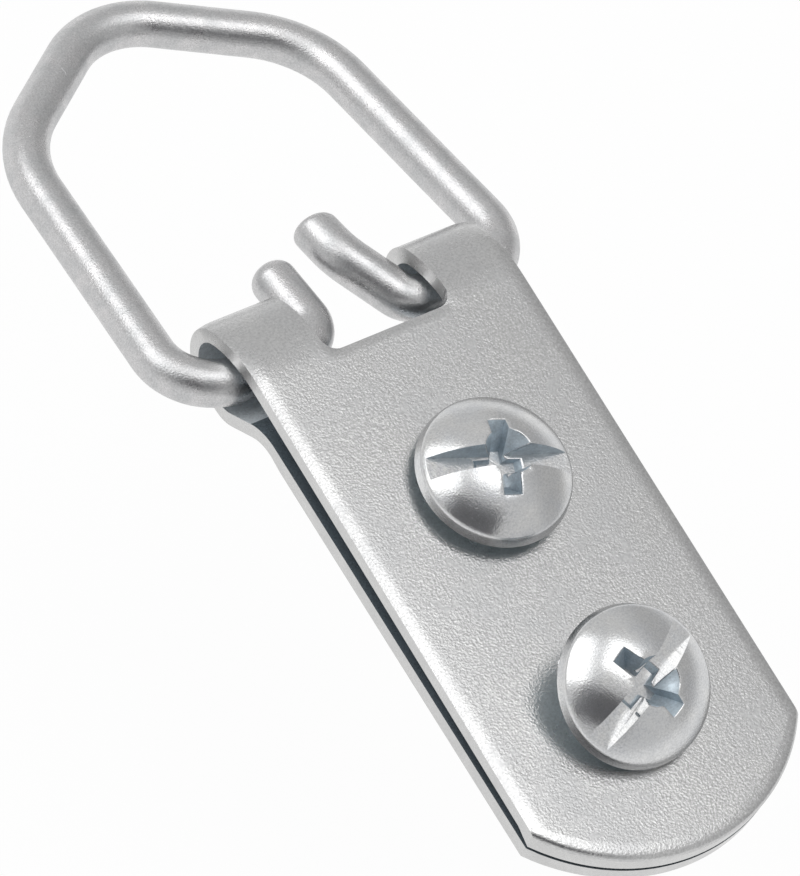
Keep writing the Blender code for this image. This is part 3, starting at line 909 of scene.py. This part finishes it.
class HANGER_OT_ring(Operator):
    """Bend the ring's wire and dress its two free ends"""
    bl_idname = "hanger.ring"
    bl_label = "Ring"

    def execute(self, context):
        sizes = context.scene.hanger_ring
        work = bmesh.new()
        corners, radii = ring_corners(sizes, context.scene.hanger_strap)
        short_end, long_end = bent_wire(work, corners, radii, sizes.wire)
        shear = Matrix.Rotation(TIP_SHEAR, 3, "Z")
        bmesh.ops.rotate(work, cent=corners[-1], matrix=shear, verts=long_end.verts)
        round_off(work, list(long_end.edges), sizes.long_round, LONG_TIP_STEPS, clamp_overlap=True)
        round_off(work, list(short_end.edges), sizes.short_round, SHORT_TIP_STEPS, clamp_overlap=True)
        place = Matrix.Translation(HINGE + Vector((sizes.shift, 0, 0))) @ Matrix.Rotation(sizes.hang, 4, "X")
        bmesh.ops.transform(work, matrix=place, verts=work.verts)
        mesh = mesh_from(work, "ring", [wire_material(context.scene.hanger_finishes)])
        finish_piece("ring", mesh, "d_ring", "ring")
        return {"FINISHED"}


def head_solid(sizes):
    """The head, turned: a dome cut from a ball, an upright rim and a flat underside."""
    rim = sizes.head / 2 - sizes.rim_taper
    dome = sizes.head_height - sizes.rim_height
    ball = (rim ** 2 + dome ** 2) / (2 * dome)
    work = bmesh.new()
    first = work.verts.new((rim, 0, sizes.rim_height))
    middle = (0, 0, sizes.head_height - ball)
    bmesh.ops.spin(
        work, geom=[first], cent=middle, axis=(0, -1, 0), angle=asin(rim / ball), steps=DOME_STEPS,
    )
    crown = max(work.verts, key=lambda vert: vert.co.z)
    crown.co.x = 0
    last = first
    outline = (
        (sizes.head / 2, sizes.rim_break), (sizes.head / 2 - sizes.rim_break, 0), (0, 0),
    )
    for x, z in outline:
        made = bmesh.ops.extrude_vert_indiv(work, verts=[last])["verts"][0]
        made.co = (x, 0, z)
        last = made
    bmesh.ops.spin(
        work, geom=list(work.verts) + list(work.edges), cent=(0, 0, 0), axis=(0, 0, 1), angle=2 * pi,
        steps=HEAD_STEPS, use_merge=True,
    )
    bmesh.ops.remove_doubles(work, verts=work.verts, dist=MERGE_DISTANCE)
    crease = [
        edge for edge in work.edges
        if all(abs(vert.co.z - sizes.rim_height) < MERGE_DISTANCE for vert in edge.verts)
    ]
    round_off(work, crease, sizes.rim_break, RIM_STEPS)
    return mesh_from(work, "head")


def shank_solid(sizes):
    """The threaded shank: one pitch of the thread's profile, spun down and tapered to a point."""
    root = sizes.thread_root / 2
    crest = sizes.thread / 2
    turns = ceil(sizes.thread_length / sizes.pitch) + THREAD_LEAD + 1
    work = bmesh.new()
    top = THREAD_LEAD * sizes.pitch
    last = work.verts.new((root, 0, top))
    for on_crest, phase in THREAD_PROFILE:
        made = bmesh.ops.extrude_vert_indiv(work, verts=[last])["verts"][0]
        made.co = (crest if on_crest else root, 0, top - phase * sizes.pitch)
        last = made
    bmesh.ops.spin(
        work, geom=list(work.verts) + list(work.edges), cent=(0, 0, 0), axis=(0, 0, 1),
        angle=-2 * pi * turns, steps=THREAD_STEPS * turns, dvec=(0, 0, -sizes.pitch / THREAD_STEPS),
    )
    bmesh.ops.remove_doubles(work, verts=work.verts, dist=MERGE_DISTANCE)
    bounds = ((sizes.rim_height / 2, 1), (-sizes.thread_length, -1))
    for height, side in bounds:
        everything = list(work.verts) + list(work.edges) + list(work.faces)
        bmesh.ops.bisect_plane(
            work, geom=everything, plane_co=(0, 0, height), plane_no=(0, 0, side), clear_outer=True,
            dist=MERGE_DISTANCE,
        )
    bmesh.ops.holes_fill(work, edges=[edge for edge in work.edges if edge.is_boundary])
    for vert in work.verts:
        depth = -vert.co.z
        taper = max(0, min(1, (sizes.thread_length - depth) / sizes.point_length))
        runout = max(0, min(1, depth / sizes.pitch))
        radius = vert.co.xy.length
        thread = (radius - root) * runout * sqrt(taper)
        wanted = sizes.point_tip + (root - sizes.point_tip) * taper + thread
        vert.co.xy *= wanted / radius
    return mesh_from(work, "shank")


def recess_cutters(sizes, wear):
    """The slot, the two tapered wings of the cross and its flare, worn towards one corner."""
    top = sizes.head_height + CUT_MARGIN
    floor = sizes.head_height - sizes.cross_depth
    grow = (top - floor) / sizes.cross_depth
    span = sizes.cross_floor_span + (sizes.cross_span - sizes.cross_floor_span) * grow
    width = sizes.cross_floor_width + (sizes.cross_width - sizes.cross_floor_width) * grow
    slot_floor = sizes.head_height - sizes.slot_depth
    slot = (sizes.head + 2 * CUT_MARGIN, sizes.slot_width)
    wing_floor = (sizes.cross_floor_span, sizes.cross_floor_width)
    blocks = {
        "cut_slot": (slot, slot, slot_floor),
        "cut_wing_along": ((span, width), wing_floor, floor),
        "cut_wing_over": ((width, span), wing_floor[::-1], floor),
    }
    meshes = []
    for name, (upper, lower, low) in blocks.items():
        work = bmesh.new()
        made = bmesh.ops.create_cube(work, size=1)["verts"]
        for vert in made:
            size = upper if vert.co.z > 0 else lower
            vert.co = (vert.co.x * size[0], vert.co.y * size[1], top if vert.co.z > 0 else low)
        meshes.append(mesh_from(work, name))
    work = bmesh.new()
    narrow = FLARE_FOOT * sizes.cross_floor_width
    wide = narrow + (sizes.flare / 2 - narrow) * grow
    shallow = floor + FLARE_LIFT * sizes.cross_depth
    bmesh.ops.create_cone(
        work, cap_ends=True, segments=FLARE_SIDES, radius1=narrow, radius2=wide, depth=top - shallow,
        matrix=Matrix.Translation((0, 0, (top + shallow) / 2)),
    )
    worn = Vector((cos(wear), sin(wear), 0)) * sizes.flare_shift * grow
    rim = [vert for vert in work.verts if vert.co.z > shallow + MERGE_DISTANCE]
    bmesh.ops.translate(work, vec=worn, verts=rim)
    meshes.append(mesh_from(work, "cut_flare"))
    # The cross's walls take the recess plating with its painted shade.
    for mesh in meshes:
        for polygon in mesh.polygons:
            if abs(polygon.normal.z) > LEVEL:
                polygon.material_index = SLOT
            elif mesh.name.startswith("cut_slot"):
                polygon.material_index = WALL
            else:
                polygon.material_index = CROSS
    return meshes


def recess_rims(work, sizes):
    """The sharp outer edges round the cross and its flare, down to the slot's floor."""
    slot_floor = sizes.head_height - sizes.slot_depth
    return [
        edge for edge in work.edges
        if len({face.material_index for face in edge.link_faces} - {CROSS}) == 1
        and any(face.material_index == CROSS for face in edge.link_faces)
        and edge.is_convex and edge.calc_face_angle() > RIM_ANGLE
        and all(vert.co.z > slot_floor - MERGE_DISTANCE for vert in edge.verts)
    ]


def screw_mesh(sizes, materials, wear):
    """One screw on +Z, its head's underside at zero."""
    solid = combine("screw", head_solid(sizes), [shank_solid(sizes)], "UNION")
    solid.materials.clear()
    for material in materials:
        solid.materials.append(material)
    for polygon in solid.polygons:
        # The head's underside takes the pale painted light.
        underside = abs(polygon.center.z) < sizes.rim_break / 4 and polygon.normal.z < -LEVEL
        polygon.material_index = UNDER if underside else HEAD
    work = open_cut(combine("screw", solid, recess_cutters(sizes, wear)))
    bmesh.ops.dissolve_degenerate(work, edges=work.edges, dist=SCREW_SLIVER)
    clear_rims(work, recess_rims(work, sizes), RIM_REACH * sizes.recess_break)
    work.normal_update()
    for face in round_off(work, recess_rims(work, sizes), sizes.recess_break, BURR_STEPS):
        face.material_index = HEAD
    return work


class HANGER_OT_screws(Operator):
    """Turn, thread and recess both screws and stand them in their holes"""
    bl_idname = "hanger.screws"
    bl_label = "Screws"

    def execute(self, context):
        sizes = context.scene.hanger_screw
        materials = screw_materials(context.scene.hanger_finishes)
        turns = {
            "upper_screw": (sizes.upper_turn, sizes.upper_wear),
            "lower_screw": (sizes.lower_turn, sizes.lower_wear),
        }
        for name, (slot, wear) in turns.items():
            joint = JOINTS[f"{name}_turn"]
            stand = Vector((0, 0, 1)).rotation_difference(Vector(joint["axis"])).to_matrix().to_4x4()
            place = Matrix.Translation(joint["pos_m"]) @ stand @ Matrix.Rotation(slot, 4, "Z")
            work = screw_mesh(sizes, materials[name], wear)
            bmesh.ops.transform(work, matrix=place, verts=work.verts)
            finish_piece(f"{name}_piece", mesh_from(work, name, materials[name]), name, name)
        return {"FINISHED"}


def camera_axes(studio):
    """The camera's right, up and backward directions."""
    back = Vector((
        sin(studio.azimuth) * cos(studio.elevation),
        -cos(studio.azimuth) * cos(studio.elevation),
        sin(studio.elevation),
    ))
    right = Vector((0, 0, 1)).cross(back).normalized()
    up = back.cross(right)
    lean = Matrix.Rotation(-studio.roll, 3, back)
    return lean @ right, lean @ up, back


def add_camera(studio):
    right, up, back = camera_axes(studio)
    data = bpy.data.cameras.new("camera")
    data.sensor_width = SENSOR
    data.lens = PHOTO_FOCAL_PIXELS * SENSOR / PHOTO_LONG_SIDE
    data.clip_start = NEAR_CLIP
    camera = add_object("camera", data)
    turned = Matrix((right, up, back)).transposed().to_4x4()
    camera.matrix_world = Matrix.Translation(Vector(studio.target) + back * studio.distance) @ turned
    bpy.context.scene.camera = camera


def facing(azimuth, elevation, distance):
    """A place at a distance from the object, turned to face it."""
    flat = cos(radians(elevation))
    direction = Vector((
        sin(radians(azimuth)) * flat, cos(radians(azimuth)) * flat, sin(radians(elevation)),
    ))
    aim = direction.to_track_quat("Z", "Y").to_matrix().to_4x4()
    return Matrix.Translation(direction * distance) @ aim


def add_softbox(name, spot, brightness):
    """A rectangular lamp that faces the object, as bright as the given white."""
    azimuth, elevation, distance, width, height = spot
    data = bpy.data.lights.new(name, "AREA")
    data.shape = "RECTANGLE"
    data.size, data.size_y = width, height
    data.energy = brightness * pi * width * height
    lamp = add_object(name, data)
    lamp.matrix_world = facing(azimuth, elevation, distance)
    lamp.visible_camera = False


def flat_mesh(name, place, width, height, material):
    """A flat rectangle that lies across the place's Z axis."""
    work = bmesh.new()
    shape = Matrix.Diagonal((width, height, 1, 1))
    bmesh.ops.create_grid(work, x_segments=1, y_segments=1, size=UNIT_GRID, matrix=place @ shape)
    mesh = bpy.data.meshes.new(name)
    work.to_mesh(mesh)
    work.free()
    mesh.materials.append(material)
    return mesh


def add_drape(spot):
    """A dark cloth behind the camera, which the metal mirrors and the camera never sees."""
    azimuth, elevation, distance, width, height = spot
    material = bpy.data.materials.new("dark_cloth")
    material.use_nodes = True
    shader = material.node_tree.nodes["Principled BSDF"]
    shader.inputs["Base Color"].default_value = DRAPE_COLOUR
    shader.inputs["Roughness"].default_value = 1
    place = facing(azimuth, elevation, distance)
    drape = add_object("drape", flat_mesh("drape", place, width, height, material))
    drape.visible_camera = False
    drape.visible_shadow = False


def floor_material(studio):
    """Pale floor that the camera, metal and glass see as white, with the object's shadow kept."""
    material = bpy.data.materials.new("pale_floor")
    material.use_nodes = True
    tree = material.node_tree
    tree.nodes.clear()
    path = add_node(tree, "ShaderNodeLightPath").outputs
    seen = calculate(tree, "MAXIMUM", path["Is Camera Ray"], path["Is Glossy Ray"])
    seen = calculate(tree, "MAXIMUM", seen, path["Is Transmission Ray"])
    factor = calculate(tree, "MULTIPLY", seen, studio.floor_white)
    matt = add_node(tree, "ShaderNodeBsdfDiffuse", {"Color": FLOOR_COLOUR})
    white = add_node(tree, "ShaderNodeEmission", {"Color": WHITE, "Strength": 1})
    mixed = add_node(tree, "ShaderNodeMixShader", {0: factor, 1: matt.outputs[0], 2: white.outputs[0]})
    add_node(tree, "ShaderNodeOutputMaterial", {"Surface": mixed.outputs[0]})
    return material


def add_floor(studio):
    place = Matrix.Translation((0, 0, CAD_BOX[0].z - studio.floor_gap))
    mesh = flat_mesh("floor", place, FLOOR_WIDTH, FLOOR_WIDTH, floor_material(studio))
    add_object("floor", mesh)


def set_room(studio):
    """A grey room that pales towards the floor and dims to the strap's right."""
    world = bpy.data.worlds.new("room")
    bpy.context.scene.world = world
    world.use_nodes = True
    tree = world.node_tree
    tree.nodes.clear()
    place = add_node(tree, "ShaderNodeTexCoord").outputs["Generated"]
    along = add_node(tree, "ShaderNodeSeparateXYZ", {"Vector": place}).outputs
    smooth = {"interpolation_type": "SMOOTHSTEP"}
    pale = map_range(tree, along["Z"], *PALE_BAND, 1, studio.room, **smooth)
    dim = map_range(tree, along["X"], *DIM_BAND, 1, 1 - studio.room_dim, **smooth)
    strength = calculate(tree, "MULTIPLY", pale, dim)
    light = add_node(tree, "ShaderNodeBackground", {"Color": WHITE, "Strength": strength})
    add_node(tree, "ShaderNodeOutputWorld", {"Surface": light.outputs[0]})


class HANGER_OT_studio(Operator):
    """Set the camera, the floor, the soft lamps and the room"""
    bl_idname = "hanger.studio"
    bl_label = "Studio"

    def execute(self, context):
        studio = context.scene.hanger_studio
        context.scene.view_settings.view_transform = "Standard"
        add_camera(studio)
        add_floor(studio)
        set_room(studio)
        add_softbox("overhead_softbox", OVERHEAD_SPOT, studio.overhead)
        add_softbox("side_softbox", SIDE_SPOT, studio.side)
        add_drape(DRAPE_SPOT)
        return {"FINISHED"}


class HANGER_PT_panel(Panel):
    bl_idname = "HANGER_PT_panel"
    bl_label = "Strap Hanger"
    bl_space_type = "VIEW_3D"
    bl_region_type = "UI"
    bl_category = "Hanger"

    def draw(self, context):
        for title, operator, group in PANEL_ROWS:
            box = self.layout.box()
            box.label(text=title)
            settings = getattr(context.scene, group)
            for key in settings.__annotations__:
                box.prop(settings, key)
            if operator:
                box.operator(operator)


PANEL_ROWS = (
    ("Finishes", None, "hanger_finishes"),
    ("Strap", "hanger.strap", "hanger_strap"),
    ("Ring", "hanger.ring", "hanger_ring"),
    ("Screws", "hanger.screws", "hanger_screw"),
    ("Studio", "hanger.studio", "hanger_studio"),
)
SETTINGS = {
    "hanger_finishes": HangerFinishes,
    "hanger_strap": HangerStrapSizes,
    "hanger_ring": HangerRingSizes,
    "hanger_screw": HangerScrewSizes,
    "hanger_studio": HangerStudio,
}
CLASSES = (
    *SETTINGS.values(), HANGER_OT_strap, HANGER_OT_ring, HANGER_OT_screws, HANGER_OT_studio, HANGER_PT_panel,
)


def register():
    for item in CLASSES:
        bpy.utils.register_class(item)
    for key, group in SETTINGS.items():
        setattr(bpy.types.Scene, key, PointerProperty(type=group))


def unregister():
    for key in SETTINGS:
        delattr(bpy.types.Scene, key)
    for item in reversed(CLASSES):
        bpy.utils.unregister_class(item)


def main():
    register()
    bpy.ops.hanger.strap()
    bpy.ops.hanger.ring()
    bpy.ops.hanger.screws()
    bpy.ops.hanger.studio()


if __name__ == "__main__":
    main()
